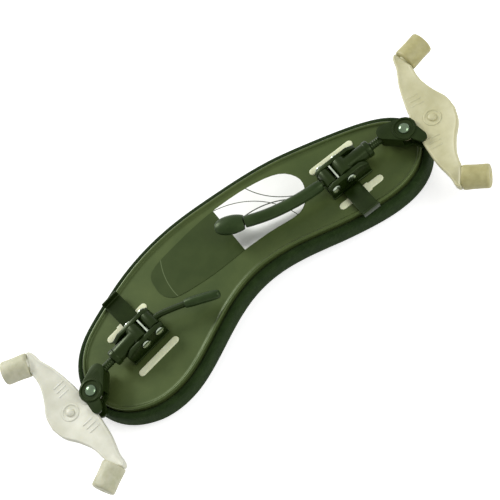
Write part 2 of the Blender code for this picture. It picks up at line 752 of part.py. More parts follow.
def lever_tip(side, parent):
    """The flattened rubber knob at the end of the long lever."""
    arm = arm_path(side)
    start = arm[-3].lerp(arm[-2], 0.25)
    forward = (arm[-1] - arm[-2]).normalized()
    count = TIP_STEPS
    segments = ARM_SEGMENTS + 2
    path = [start + forward * (TIP_LENGTH * i / count) for i in range(count + 1)]
    neck = GRIP_R[side]
    outer = [neck + (TIP_R - neck) * math.sin(math.pi * min(1, (i + 0.4) / count)) ** 0.6
             for i in range(count)] + [TIP_R * 0.45]
    reach = (arm[-1] - start).length + GAP + 0.4 * mm
    core = [p for p in path if (p - start).length < reach]
    core = core + [start + forward * reach]
    outside = along_path(path, outer, segments, TIP_FLATNESS)
    inside = along_path(core, [ARM_R + GAP] * len(core), segments)
    bm = bmesh.new()
    loops = [[bm.verts.new(point) for point in ring] for ring in list(reversed(inside)) + outside]
    for a, b in zip(loops, loops[1:]):
        for i in range(segments):
            j = (i + 1) % segments
            bm.faces.new((a[i], a[j], b[j], b[i]))
    bm.faces.new(list(reversed(loops[0])))
    bm.faces.new(loops[-1])
    piece(f"{side}_lever_tip", bm, "rubber", parent)


# ---------------------------------------------------------------- rod and bracket

def rod(side, parent):
    profile = [(ROD_R - 0.5 * mm, ROD_START), (ROD_R, ROD_START + 0.5 * mm)]
    z = BOSS_END + 0.8 * mm
    while z < COLLAR_START - RIB_PITCH:
        profile += [(ROD_R, z), (ROD_R - RIB_DEPTH, z + 0.25 * RIB_PITCH),
                    (ROD_R - RIB_DEPTH, z + 0.5 * RIB_PITCH), (ROD_R, z + 0.75 * RIB_PITCH)]
        z += RIB_PITCH
    profile += [(ROD_R, ROD_END)]
    piece(f"{side}_rod", turn(turned(profile, 16), ALONG), "black_metal", parent)


def hull(circles, count=16):
    """The outline round a chain of circles (x, y, radius), anticlockwise."""
    points = [Vector(p) for x, y, r in circles for p in circle(r, count, (x, y))]
    points.sort(key=lambda p: (p.x, p.y))

    def chain(ordered):
        result = []
        for p in ordered:
            while len(result) > 1 and (result[-1] - result[-2]).cross(p - result[-2]) <= 1e-12:
                result.pop()
            result.append(p)
        return result
    return chain(points)[:-1] + chain(points[::-1])[:-1]


def bracket(side, parent):
    """A clevis: a collar on the rod, two eared plates and a tail."""
    v = PIN_SIDE[side] * ROCK_PIN_V
    tail_v = PIN_SIDE[side] * TAIL_V
    neck_u = WEB_END - COLLAR_R
    lobe = hull([(neck_u, 0.0, COLLAR_R), (ROCK_PIN_U, v, EAR_R)])
    tail = hull([(ROCK_PIN_U + 1 * mm, v, EAR_R - 2 * mm), (TAIL_U, tail_v, TAIL_R)])
    # The slot's floor lies at the web's end, and the ears rise from there.
    bm = join(prism(lobe, -EAR_Z, EAR_Z), prism(tail, -EAR_Z + 0.05 * mm, EAR_Z - 0.05 * mm))
    collar = turn(turned([(COLLAR_R - COLLAR_EDGE, COLLAR_START), (COLLAR_R, COLLAR_START + COLLAR_EDGE),
                          (COLLAR_R, WEB_END - 1 * mm)], 24), ALONG)
    slot = box(WEB_END, WEB_END + THROUGH, -THROUGH, THROUGH, -SLOT_Z, SLOT_Z)
    bore = turn(turned([(ROD_R + GAP, 0), (ROD_R + GAP, WEB_END + 1 * mm)], 16), ALONG)
    hole = turn(turned([(ROCK_PIN_R + GAP, -THROUGH), (ROCK_PIN_R + GAP, THROUGH)]),
                Matrix.Translation((ROCK_PIN_U, v, 0)))
    bm = cut(join(bm, collar), slot, bore, hole)
    for sign in (1, -1):
        low, high = sorted((sign * (EAR_Z - 0.3 * mm), sign * (EAR_Z + EAR_RIM)))
        outer_r = EAR_R - RIM_SLOPE
        inner_r = outer_r - RIM_SLOPE - RIM_WIDTH
        rim = turned_tube([(outer_r, low), (outer_r - RIM_SLOPE, high)],
                          [(inner_r + RIM_SLOPE, high), (inner_r, low)], 24)
        bm = join(bm, turn(rim, Matrix.Translation((ROCK_PIN_U, v, 0))))
    piece(f"{side}_bracket", bm, "black_metal", parent)


def rock_pin(side, parent):
    seat = EAR_Z + GAP
    profile = [(DOME_R * 0.35, -seat - DOME_HEIGHT), (DOME_R * 0.8, -seat - DOME_HEIGHT * 0.7),
               (DOME_R, -seat), (ROCK_PIN_R, -seat), (ROCK_PIN_R, seat), (DOME_R, seat),
               (DOME_R * 0.8, seat + DOME_HEIGHT * 0.7), (DOME_R * 0.35, seat + DOME_HEIGHT)]
    place = Matrix.Translation((ROCK_PIN_U, PIN_SIDE[side] * ROCK_PIN_V, 0))
    piece(f"{side}_rock_pin", turn(turned(profile), place), "steel", parent)


# ---------------------------------------------------------------- fork

def fork_outline():
    """Both halves of the fork, from its inner middle, round one end and back."""
    inner = spline([(a * mm, b * mm) for a, b in FORK_INNER], 2)
    outer = spline([(a * mm, b * mm) for a, b in FORK_OUTER], 2)
    root = Vector(PRONG_ROOT) * mm
    across = Vector((-math.sin(PRONG_ANGLE), math.cos(PRONG_ANGLE)))
    half = inner + [root + across * (SLEEVE_R - 0.2 * mm), root - across * (SLEEVE_R - 0.2 * mm)] + outer
    mirrored = [Vector((p.x, -p.y)) for p in reversed(half[:-1])]
    return list(reversed(half + mirrored))


def prong_place(sign):
    """The frame of a prong: Z along it, from its root."""
    root = Vector((PRONG_ROOT[0] * mm, sign * PRONG_ROOT[1] * mm, 0))
    along = Vector((math.cos(PRONG_ANGLE), sign * math.sin(PRONG_ANGLE), 0))
    return Matrix.Translation(root) @ along.to_track_quat('Z', 'Y').to_matrix().to_4x4()


def fork(side, parent):
    half = FORK_THICKNESS / 2
    bm = soften(prism(fork_outline(), -half, half), FORK_EDGE)
    lug = prism(circle(FORK_LUG_R, 24), -half + 0.05 * mm, half - 0.05 * mm)
    neck = box(0, 8 * mm, -FORK_LUG_R + 0.3 * mm, FORK_LUG_R - 0.3 * mm, -half + 0.1 * mm, half - 0.1 * mm)
    bm = join(bm, lug, neck)
    for sign in (1, -1):
        profile = [(PRONG_R, -PRONG_BURY), (PRONG_R, PRONG_LENGTH - FORK_EDGE),
                   (PRONG_R - FORK_EDGE, PRONG_LENGTH)]
        bm = join(bm, turn(turned(profile, 16), prong_place(sign)))
    pin = turned([(ROCK_PIN_R + GAP, -THROUGH), (ROCK_PIN_R + GAP, THROUGH)])
    eye = turn(turned([(RIVET_R + GAP, -THROUGH), (RIVET_R + GAP, THROUGH)]),
               Matrix.Translation((FORK_EYE, 0, 0)))
    piece(f"{side}_fork", cut(bm, pin, eye), "fork", parent)


def fork_rivet(side, parent):
    seat = FORK_THICKNESS / 2 + GAP
    end = seat + RIVET_HEAD
    profile = [(RIVET_HEAD_R * 0.6, -end), (RIVET_HEAD_R, -seat), (RIVET_R, -seat), (RIVET_R, seat),
               (RIVET_HEAD_R, seat), (RIVET_HEAD_R * 0.6, end)]
    piece(f"{side}_fork_rivet", turn(turned(profile, 16), Matrix.Translation((FORK_EYE, 0, 0))),
          "fork", parent)


def sleeve(side, letter, sign, parent):
    start = GAP
    end = start + SLEEVE_LENGTH
    floor = PRONG_LENGTH + GAP
    outer = [(SLEEVE_R - 0.4 * mm, start), (SLEEVE_R, start + 0.4 * mm), (SLEEVE_R, end - SLEEVE_ROUND),
             (SLEEVE_R - SLEEVE_ROUND * 0.3, end - SLEEVE_ROUND * 0.3), (SLEEVE_R - SLEEVE_ROUND, end)]
    inner = [(VENT_R, end), (VENT_R, floor), (PRONG_R + GAP, floor), (PRONG_R + GAP, start)]
    piece(f"{side}_sleeve_{letter}", turn(turned_tube(outer, inner), prong_place(sign)), "sleeve", parent)


# ---------------------------------------------------------------- assembly

def leg_assembly(side, plate):
    leg = axis(f"{side}_leg_axis", plate, leg_place(side))
    rails(side, leg)
    slide = axis(f"{side}_carriage_axis", leg)
    carriage(side, slide)
    clamp_block(side, slide)
    carriage_screw(side, slide)
    keeper_plate(side, slide)
    piece(f"{side}_fold_pin", headed_pin(FOLD_PIN_R, 0.0), "steel", slide)
    piece(f"{side}_lever_pin", headed_pin(LEVER_PIN_R, LEVER_U), "steel", slide)
    lock_shoe(side, slide)
    swing = axis(f"{side}_lever_axis", slide, Matrix.Translation((LEVER_U, 0, AXIS_Z)))
    lever(side, swing)
    lever_grip(side, swing)
    if side == "right":
        lever_tip(side, swing)
    fold = axis(f"{side}_fold_axis", slide, Matrix.Translation((0, 0, AXIS_Z)))
    barrel(side, fold)
    height = axis(f"{side}_rod_axis", fold)
    rod(side, height)
    swivel = axis(f"{side}_swivel_axis", height)
    bracket(side, swivel)
    rock_pin(side, swivel)
    pin_at = Matrix.Translation((ROCK_PIN_U, PIN_SIDE[side] * ROCK_PIN_V, 0))
    rock = axis(f"{side}_rock_axis", swivel, pin_at @ Matrix.Rotation(FORK_REST[side], 4, 'Z'))
    fork(side, rock)
    fork_rivet(side, rock)
    sleeve(side, "a", 1, rock)
    sleeve(side, "b", -1, rock)


def centre_on_origin(plate):
    """Moves the whole so that its bounding box's bottom middle is the origin."""
    bpy.context.view_layer.update()
    corners = [item.matrix_world @ vert.co for item in bpy.context.scene.objects if item.type == 'MESH'
               for vert in item.data.vertices]
    low = Vector([min(p[k] for p in corners) for k in range(3)])
    high = Vector([max(p[k] for p in corners) for k in range(3)])
    plate.location -= Vector(((low.x + high.x) / 2, (low.y + high.y) / 2, low.z))
    bpy.context.view_layer.update()


def main():
    for item in list(bpy.data.objects):
        bpy.data.objects.remove(item)
    plate = axis("plate_frame")
    base_plate(plate)
    foam_pad(plate)
    labels(plate)
    for side in SIDES:
        leg_assembly(side, plate)
    centre_on_origin(plate)


main()
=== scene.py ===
"""Looks of the violin shoulder rest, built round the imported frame.

Every place comes from the frame: the joints' axes, the nodes' boxes and the base plate's
own edge. A leg's frame has its origin on the fold axis, X along the rod, Y across the leg
and Z off the plate. A fork's frame has its origin on the rocking pin, X towards the rivet
and Z along the pin.
"""

import json
import math

import bmesh
import bpy
from mathutils import Matrix, Vector


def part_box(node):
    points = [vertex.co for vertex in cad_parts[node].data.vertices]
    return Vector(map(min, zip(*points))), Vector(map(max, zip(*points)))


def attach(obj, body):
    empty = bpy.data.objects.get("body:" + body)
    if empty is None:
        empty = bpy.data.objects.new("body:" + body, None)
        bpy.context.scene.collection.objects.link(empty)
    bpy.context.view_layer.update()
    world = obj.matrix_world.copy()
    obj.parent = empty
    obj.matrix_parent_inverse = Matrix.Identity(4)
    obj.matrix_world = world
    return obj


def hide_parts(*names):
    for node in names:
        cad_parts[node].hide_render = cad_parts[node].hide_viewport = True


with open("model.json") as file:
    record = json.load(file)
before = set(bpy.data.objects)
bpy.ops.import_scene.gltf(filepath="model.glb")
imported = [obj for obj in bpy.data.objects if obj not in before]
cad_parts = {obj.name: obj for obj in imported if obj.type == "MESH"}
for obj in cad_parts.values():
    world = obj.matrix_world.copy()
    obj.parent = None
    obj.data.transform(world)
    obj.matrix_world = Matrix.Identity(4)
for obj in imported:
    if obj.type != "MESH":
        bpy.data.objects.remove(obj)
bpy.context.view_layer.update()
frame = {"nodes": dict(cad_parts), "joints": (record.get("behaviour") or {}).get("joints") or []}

mm = 0.001
SIDES = ("left", "right")
JOINTS = {joint["name"]: joint for joint in frame["joints"]}
UP = Vector((0, 0, 1))

# Camera: the angle of the view, and where it looks from the base plate's middle
CAMERA_DISTANCE = 1.5
CAMERA_LENS = 232.2
CAMERA_TILT = math.radians(29.8)
CAMERA_HEADING = math.radians(2.6)
CAMERA_ROLL = math.radians(36.85)
AIM_OFFSET = Vector((2.12, -1.91, 0.0)) * mm

# Pad and plate profiles, as (inset from the edge, height) in mm
PLATE_RIM = [(0.25, -3.0), (0.0, -2.7), (0.0, 0.55), (0.1, 0.9), (0.35, 1.12), (0.75, 1.2),
             (1.1, 1.14), (1.35, 0.9), (1.6, 0.45), (1.9, 0.12), (2.4, 0.0), (3.2, 0.0)]
PAD_RIM = [(5.5, 0.15), (3.4, 0.25), (1.9, 0.75), (0.8, 1.7), (0.2, 3.0), (0.0, 4.6), (0.1, 6.4),
           (0.0, 8.0), (0.1, 9.8), (0.3, 11.3), (0.8, 12.1), (1.6, 12.4), (2.4, 12.4), (2.9, 12.1),
           (3.15, 11.4), (3.25, 10.0), (5.0, 10.0)]
PLATE_THICKNESS = 3.0 * mm
PAD_DEPTH = 10.3 * mm               # from the plate's underside to the pad's
PAD_CROWN = 0.5 * mm
LABEL_LIFT = 0.25 * mm

# Fork, for a pin 14 mm from its rivet: (along, across) points in mm on one half, then the
# (inset, height) of its rounded edge, and the end of a prong about its root
FORK_EYE = 14.0 * mm
PRONG_ROOT = (14.0, 35.0)
PRONG_ANGLE = math.radians(25)
FORK_INNER = [(3.0, 0), (3.0, 3.2), (4.6, 6), (5.0, 12), (6.5, 23), (9.0, 32), (9.4, 36.0)]
FORK_OUTER = [(16.3, 28.6), (16.5, 25), (17.4, 20.5), (20.2, 14), (24.2, 7), (25.6, 0)]
FORK_RIM = [(0.0, 0.0), (0.0, 1.2), (0.1, 1.6), (0.3, 1.86), (0.6, 2.0), (0.95, 2.0), (1.2, 1.9),
            (1.4, 1.76)]
FORK_END = [(-2.6, 4.6), (-1.4, 5.45), (-0.5, 5.6), (0.2, 5.2), (0.25, 2.0), (0.25, -2.0), (0.2, -5.0),
            (-0.3, -5.5)]
FORK_LUG = [(3.4, -1.95), (3.75, -1.7), (3.8, -1.2), (3.8, 1.2), (3.75, 1.7), (3.4, 1.95)]
FORK_NECK = [(3.4, -1.9), (3.5, 0), (3.4, 1.9)]
NECK_REACH = 4.0 * mm
FORK_RING = [(4.5, 1.5), (4.5, 1.85), (4.3, 2.05), (3.7, 2.05), (3.5, 1.85), (3.5, 1.5)]
RIVET_HEAD = [(0.25, -2.9), (1.1, -2.8), (1.8, -2.5), (2.1, -2.1), (2.1, -1.6), (1.2, -1.5)]
RIB_PLACES = (-15, -12.4, -9.8, 9.8, 12.4, 15)
RIB_SETBACK = 2.2 * mm
RIB_SLANT = 0.12

# Sleeves and the pegs in them, in mm
SLEEVE_R = 5.8
SLEEVE_BORE = 2.9
SLEEVE_VENT = 0.8
SLEEVE_CAP = 2.7
PEG_R = 2.86

# Rocking pin, in mm
DOME_RISE = 1.6
PIN_SHANK = 1.5

# Rod, in mm
ROD_RIB_PITCH = 1.1
ROD_RIB_DEPTH = 0.22
ROD_PLAIN = (9.0, 5.5)              # smooth lengths at its two ends


# ---------------------------------------------------------------- places in the frame

def axes(origin, along, up):
    """A frame from its origin, its X axis and a rough Z axis."""
    x = Vector(along).normalized()
    z = Vector(up)
    z = (z - x * z.dot(x)).normalized()
    y = z.cross(x)
    place = Matrix((x, y, z)).transposed().to_4x4()
    place.translation = Vector(origin)
    return place


def middle(node):
    low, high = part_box(node)
    return (Vector(low) + Vector(high)) / 2


def leg_axes(side):
    fold = JOINTS[f"{side}_leg_fold"]
    return axes(fold["pos_m"], JOINTS[f"{side}_rod_height"]["axis"], UP)


def fork_axes(side):
    rock = JOINTS[f"{side}_fork_rock"]
    origin = Vector(rock["pos_m"])
    up = Vector(rock["axis"])
    along = middle(f"{side}_fork_rivet") - origin
    return axes(origin, along - up * along.dot(up), up)


LEG = {side: leg_axes(side) for side in SIDES}
FORK = {side: fork_axes(side) for side in SIDES}


def extent(node, place):
    """A node's lowest and highest corner, measured along a frame's axes."""
    back = place.inverted()
    points = [back @ vert.co for vert in frame["nodes"][node].data.vertices]
    low = Vector([min(p[k] for p in points) for k in range(3)])
    high = Vector([max(p[k] for p in points) for k in range(3)])
    return low, high


# ---------------------------------------------------------------- mesh helpers

def cad_mesh(node):
    bm = bmesh.new()
    bm.from_mesh(frame["nodes"][node].data)
    bmesh.ops.remove_doubles(bm, verts=bm.verts, dist=1e-6)
    return bm


def spline(points, steps, closed=False):
    """Points of a smooth curve through the given ones."""
    points = [Vector(p) for p in points]
    count = len(points)
    result = []
    for i in range(count if closed else count - 1):
        if closed:
            a, b, c, d = (points[(i + k) % count] for k in (-1, 0, 1, 2))
        else:
            b, c = points[i], points[i + 1]
            a = points[i - 1] if i else b * 2 - c
            d = points[i + 2] if i + 2 < count else c * 2 - b
        for k in range(steps):
            t = k / steps
            result.append(0.5 * (2 * b + (c - a) * t + (2 * a - 5 * b + 4 * c - d) * t ** 2
                                 + (3 * b - a - 3 * c + d) * t ** 3))
    if not closed:
        result.append(points[-1])
    return result


def inset_loop(points, inset):
    """Moves a closed anticlockwise loop inwards by the inset."""
    moved = []
    for i, point in enumerate(points):
        along = (points[(i + 1) % len(points)] - points[i - 1]).normalized()
        moved.append(point + Vector((-along.y, along.x)) * inset)
    return moved


def bridge(bm, lower, upper):
    count = len(lower)
    for i in range(count):
        j = (i + 1) % count
        bm.faces.new((lower[i], lower[j], upper[j], upper[i]))


def lathe(profile, segments=40, closed=False):
    """A solid turned about Z from (radius, z) points in mm; a closed one is a ring."""
    bm = bmesh.new()
    loops = []
    for radius, z in profile:
        loop = []
        for k in range(segments):
            angle = 2 * math.pi * k / segments
            x, y = radius * math.cos(angle), radius * math.sin(angle)
            loop.append(bm.verts.new((x * mm, y * mm, z * mm)))
        loops.append(loop)
    for lower, upper in zip(loops, loops[1:]):
        bridge(bm, lower, upper)
    if closed:
        bridge(bm, loops[-1], loops[0])
    else:
        bm.faces.new(list(reversed(loops[0])))
        bm.faces.new(loops[-1])
    return bm


def merge(*parts):
    """One mesh from several closed ones."""
    whole = bmesh.new()
    for part in parts:
        mesh = bpy.data.meshes.new("part")
        part.to_mesh(mesh)
        part.free()
        whole.from_mesh(mesh)
        bpy.data.meshes.remove(mesh)
    return whole


def turn(bm, matrix):
    bmesh.ops.transform(bm, matrix=matrix, verts=bm.verts)
    return bm


ACROSS = Matrix.Rotation(math.radians(-90), 4, 'X')     # turns Z to Y
ALONG = Matrix.Rotation(math.radians(90), 4, 'Y')       # turns Z to X


def add(name, bm, material, body, nodes=(), sharp=38):
    """Makes a piece that rides on a body and stands for the given CAD nodes."""
    bmesh.ops.recalc_face_normals(bm, faces=bm.faces)
    for face in bm.faces:
        face.smooth = True
    for edge in bm.edges:
        if len(edge.link_faces) == 2:
            edge.smooth = edge.calc_face_angle(0.0) < math.radians(sharp)
    mesh = bpy.data.meshes.new(name)
    bm.to_mesh(mesh)
    bm.free()
    mesh.materials.append(material)
    made = bpy.data.objects.new(name, mesh)
    bpy.context.scene.collection.objects.link(made)
    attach(made, body)
    if nodes:
        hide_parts(*nodes)
    return made


def bevelled(node, width, segments=2):
    """A node's shape with its sharp edges rounded."""
    bm = cad_mesh(node)
    bmesh.ops.dissolve_limit(bm, angle_limit=math.radians(1), verts=bm.verts, edges=bm.edges)
    sharp = [e for e in bm.edges if len(e.link_faces) == 2 and e.is_convex
             and e.calc_face_angle(0.0) > math.radians(32)]
    bmesh.ops.bevel(bm, geom=sharp, offset=width, offset_type='OFFSET', segments=segments,
                    profile=0.6, affect='EDGES', clamp_overlap=True)
    return bm


def subdivided(node, levels=2, crease_angle=55, crease=0.55):
    """A node's shape with round sections, from its own few-sided ones."""
    bm = cad_mesh(node)
    bmesh.ops.join_triangles(bm, faces=bm.faces, angle_face_threshold=math.radians(60),
                             angle_shape_threshold=math.radians(80))
    layer = bm.edges.layers.float.new("crease_edge")
    for edge in bm.edges:
        if len(edge.link_faces) == 2 and edge.calc_face_angle(0.0) > math.radians(crease_angle):
            edge[layer] = crease
    mesh = bpy.data.meshes.new("cage")
    bm.to_mesh(mesh)
    bm.free()
    cage = bpy.data.objects.new("cage", mesh)
    bpy.context.scene.collection.objects.link(cage)
    smooth = cage.modifiers.new("smooth", 'SUBSURF')
    smooth.levels = smooth.render_levels = levels
    result = bmesh.new()
    result.from_object(cage, bpy.context.evaluated_depsgraph_get())
    bpy.data.objects.remove(cage)
    bpy.data.meshes.remove(mesh)
    return result


# ---------------------------------------------------------------- materials

def ramp(nodes, low, high, stops):
    made = nodes.new("ShaderNodeValToRGB")
    made.color_ramp.elements[0].position = stops[0]
    made.color_ramp.elements[1].position = stops[1]
    made.color_ramp.elements[0].color = (*low, 1)
    made.color_ramp.elements[1].color = (*high, 1)
    return made


def surface(name, low, high, roughness, patch=60.0, grain=2500.0, bump=0.1, depth=0.02,
            metallic=0.0, specular=0.5, tint=(1, 1, 1), sheen=0.0, weave=0.0, subsurface=0.0):
    """Mottled colour between two tones, varied roughness and a fine grain, all in metres."""
    made = bpy.data.materials.new(name)
    made.use_nodes = True
    tree = made.node_tree
    nodes, link = tree.nodes, tree.links.new
    shader = nodes["Principled BSDF"]
    place = nodes.new("ShaderNodeTexCoord")
    tone = nodes.new("ShaderNodeTexNoise")
    tone.inputs["Scale"].default_value = patch
    tone.inputs["Detail"].default_value = 6
    tone.inputs["Roughness"].default_value = 0.6
    link(place.outputs["Object"], tone.inputs["Vector"])
    colour = ramp(nodes, low, high, (0.35, 0.68))
    link(tone.outputs["Fac"], colour.inputs["Fac"])
    link(colour.outputs["Color"], shader.inputs["Base Color"])
    fine = nodes.new("ShaderNodeTexNoise")
    fine.inputs["Scale"].default_value = grain
    fine.inputs["Detail"].default_value = 3
    link(place.outputs["Object"], fine.inputs["Vector"])
    spread = nodes.new("ShaderNodeMapRange")
    spread.inputs["To Min"].default_value = roughness[0]
    spread.inputs["To Max"].default_value = roughness[1]
    link(tone.outputs["Fac"], spread.inputs["Value"])
    link(spread.outputs["Result"], shader.inputs["Roughness"])
    height = fine.outputs["Fac"]
    if weave:
        height = woven(nodes, link, place, weave, height)
    relief = nodes.new("ShaderNodeBump")
    relief.inputs["Strength"].default_value = bump
    relief.inputs["Distance"].default_value = depth * mm
    link(height, relief.inputs["Height"])
    link(relief.outputs["Normal"], shader.inputs["Normal"])
    shader.inputs["Metallic"].default_value = metallic
    shader.inputs["Specular IOR Level"].default_value = specular
    shader.inputs["Sheen Weight"].default_value = sheen
    shader.inputs["Specular Tint"].default_value = (*tint, 1)
    if subsurface:
        shader.inputs["Subsurface Weight"].default_value = subsurface
        shader.inputs["Subsurface Radius"].default_value = (1.0, 0.8, 0.5)
        shader.inputs["Subsurface Scale"].default_value = 1.2 * mm
    return made


def woven(nodes, link, place, pitch, grain):
    """The height of a plain knit: crossed ridges at a pitch in mm, broken up by the grain."""
    total = grain
    for direction in ('X', 'Y'):
        ridge = nodes.new("ShaderNodeTexWave")
        ridge.wave_type = 'BANDS'
        ridge.bands_direction = direction
        ridge.inputs["Scale"].default_value = 0.314 / (pitch * mm)
        ridge.inputs["Distortion"].default_value = 1.2
        ridge.inputs["Detail"].default_value = 1
        ridge.inputs["Detail Scale"].default_value = 2
        link(place.outputs["Object"], ridge.inputs["Vector"])
        joined = nodes.new("ShaderNodeMath")
        joined.operation = 'ADD'
        link(total, joined.inputs[0])
        link(ridge.outputs["Fac"], joined.inputs[1])
        total = joined.outputs["Value"]
    return total


def draw_arcs(material, arcs, line_colour):
    """Thin printed arcs on a label, each as (centre, radius, half width) in metres."""
    tree = material.node_tree
    nodes, link = tree.nodes, tree.links.new
    shader = nodes["Principled BSDF"]
    place = nodes.new("ShaderNodeTexCoord")
    source = shader.inputs["Base Color"].links[0].from_socket
    for centre, radius, half in arcs:
        flat = nodes.new("ShaderNodeVectorMath")
        flat.operation = 'MULTIPLY'
        flat.inputs[1].default_value = (1, 1, 0)
        link(place.outputs["Object"], flat.inputs[0])
        reach = nodes.new("ShaderNodeVectorMath")
        reach.operation = 'DISTANCE'
        reach.inputs[1].default_value = (centre[0], centre[1], 0)
        link(flat.outputs["Vector"], reach.inputs[0])
        band = nodes.new("ShaderNodeMath")
        band.operation = 'COMPARE'
        band.inputs[1].default_value = radius
        band.inputs[2].default_value = half
        link(reach.outputs["Value"], band.inputs[0])
        mix = nodes.new("ShaderNodeMix")
        mix.data_type = 'RGBA'
        link(band.outputs["Value"], mix.inputs["Factor"])
        link(source, mix.inputs["A"])
        mix.inputs["B"].default_value = (*line_colour, 1)
        source = mix.outputs["Result"]
    link(source, shader.inputs["Base Color"])


OLIVE = (0.62, 0.80, 0.42)
plate_plastic = surface("plate_plastic", (0.034, 0.052, 0.013), (0.064, 0.086, 0.024), (0.30, 0.42),
                        patch=32, grain=3500, bump=0.2, depth=0.03, specular=0.5, tint=OLIVE)
pad_fabric = surface("pad_fabric", (0.010, 0.022, 0.005), (0.020, 0.038, 0.010), (0.85, 0.95),
                     patch=220, grain=2600, bump=0.7, depth=0.12, specular=0.2, tint=OLIVE, sheen=0.03,
                     weave=0.55)
label_film = surface("label_film", (0.020, 0.033, 0.006), (0.030, 0.045, 0.010), (0.36, 0.44),
                     patch=90, grain=1500, bump=0.05, specular=0.35, tint=OLIVE)
label_foil = surface("label_foil", (0.86, 0.87, 0.83), (0.93, 0.94, 0.90), (0.24, 0.34),
                     patch=40, grain=900, bump=0.03, metallic=0.75)
rail_nylon = surface("rail_nylon", (0.70, 0.73, 0.48), (0.80, 0.83, 0.58), (0.40, 0.52),
                     patch=150, grain=1800, bump=0.15, depth=0.03, subsurface=0.1)
black_paint = surface("black_paint", (0.005, 0.011, 0.001), (0.010, 0.019, 0.003), (0.26, 0.38),
                      patch=160, grain=1400, bump=0.18, depth=0.03, specular=0.3, tint=OLIVE)
nickel = surface("nickel", (0.40, 0.47, 0.36), (0.55, 0.61, 0.50), (0.16, 0.28),
                 patch=300, grain=2200, bump=0.08, metallic=1.0)
dark_nickel = surface("dark_nickel", (0.10, 0.15, 0.09), (0.16, 0.22, 0.14), (0.15, 0.26),
                      patch=300, grain=2200, bump=0.08, metallic=0.9)
grip_rubber = surface("grip_rubber", (0.012, 0.024, 0.006), (0.024, 0.042, 0.013), (0.30, 0.44),
                      patch=130, grain=1600, bump=0.3, depth=0.05, specular=0.3, tint=OLIVE)
# Both sides are the same parts in the same plastic and rubber; the right fork's and sleeves' darker,
# yellower tones are painted shade on the right end
FORK_TONES_RIGHT_SHADED = {"left": ((0.63, 0.63, 0.51), (0.73, 0.73, 0.62)),
              "right": ((0.50, 0.48, 0.28), (0.60, 0.58, 0.37))}
SLEEVE_TONES_RIGHT_SHADED = {"left": ((0.46, 0.46, 0.30), (0.60, 0.59, 0.44)),
                "right": ((0.36, 0.33, 0.14), (0.47, 0.44, 0.21))}
fork_plastic = {side: surface(f"{side}_fork_plastic", *FORK_TONES_RIGHT_SHADED[side], (0.38, 0.52), patch=110,
                              grain=1500, bump=0.2, depth=0.05, subsurface=0.12) for side in SIDES}
sleeve_rubber = {side: surface(f"{side}_sleeve_rubber", *SLEEVE_TONES_RIGHT_SHADED[side], (0.45, 0.60), patch=200,
                               grain=1300, bump=0.25, depth=0.06, subsurface=0.2) for side in SIDES}


# ---------------------------------------------------------------- plate, pad and labels

def plate_edge():
    """The base plate's bottom edge as an ordered anticlockwise loop of points."""
    bm = cad_mesh("base_plate")
    bmesh.ops.dissolve_limit(bm, angle_limit=math.radians(0.3), verts=bm.verts, edges=bm.edges)
    rim = []
    for edge in bm.edges:
        if len(edge.link_faces) == 2:
            tilts = sorted(face.normal.z for face in edge.link_faces)
            if tilts[0] < -0.8 and abs(tilts[1]) < 0.2:
                rim.append(edge)
    beside = {}
    for edge in rim:
        for vert in edge.verts:
            beside.setdefault(vert, []).append(edge.other_vert(vert))
    start = max(beside, key=lambda vert: vert.co.x)
    loop, before, here = [start], None, start
    while True:
        onward = [vert for vert in beside[here] if vert != before]
        before, here = here, onward[0]
        if here == start:
            break
        loop.append(here)
    points = [vert.co.copy() for vert in loop]
    bm.free()
    if points[len(points) // 4].y < points[-len(points) // 4].y:
        points = [points[0]] + list(reversed(points[1:]))
    return points


EDGE = plate_edge()
PLATE_BOTTOM = max(p.z for p in EDGE)
PLATE_TOP = PLATE_BOTTOM + PLATE_THICKNESS
MEAN_X = sum(p.x for p in EDGE) / len(EDGE)
BEND = (PLATE_BOTTOM - min(p.z for p in EDGE)) / max(abs(p.x - MEAN_X) for p in EDGE) ** 2
MIDDLE_X = (max(p.x for p in EDGE) + min(p.x for p in EDGE)) / 2
OUTLINE = spline([p.xy for p in EDGE], 6, closed=True)


def half_length(node):
    return middle(node).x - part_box(node)[0][0]


PAD_MARGIN = half_length("foam_pad") - half_length("base_plate")


def arch(x):
    return -BEND * (x - MIDDLE_X) ** 2


def fill_across(bm, loop, steps, crown):
    """Fills a loop with rows that run across the pad, bulged by the crown."""
    count = len(loop)
    half = count // 2
    before = None
    for i in range(half + 1):
        a, b = loop[i], loop[(count - i) % count]
        if a is b:
            row = [a] * (steps + 1)
        else:
            row = [a]
            for k in range(1, steps):
                t = k / steps
                swell = crown * (1 - (2 * t - 1) ** 4) * min(1.0, i / 12, (half - i) / 12)
                row.append(bm.verts.new(a.co.lerp(b.co, t) + UP * swell))
            row.append(b)
        if before:
            for k in range(steps):
                corners = list(dict.fromkeys((before[k], before[k + 1], row[k + 1], row[k])))
                if len(corners) > 2:
                    bm.faces.new(corners)
        before = row


def slab(profile, base, grow, crowns, steps):
    """A slab of the plate's outline through (inset, height) pairs in mm, bottom to top."""
    bm = bmesh.new()
    loops = []
    for inset, height in profile:
        points = inset_loop(OUTLINE, inset * mm - grow)
        loops.append([bm.verts.new((p.x, p.y, base + height * mm + arch(p.x))) for p in points])
    for lower, upper in zip(loops, loops[1:]):
        bridge(bm, lower, upper)
    fill_across(bm, loops[0], steps, crowns[0])
    fill_across(bm, loops[-1], steps, crowns[1])
    return bm


def build_plate():
    add("plate_shell", slab(PLATE_RIM, PLATE_TOP, 0.0, (0.0, 0.0), 8), plate_plastic, "plate",
        ["base_plate"])
    pad_base = PLATE_BOTTOM - PAD_DEPTH
    pad = add("pad", slab(PAD_RIM, pad_base, PAD_MARGIN, (-PAD_CROWN, 0.0), 14), pad_fabric, "plate",
              ["foam_pad"])


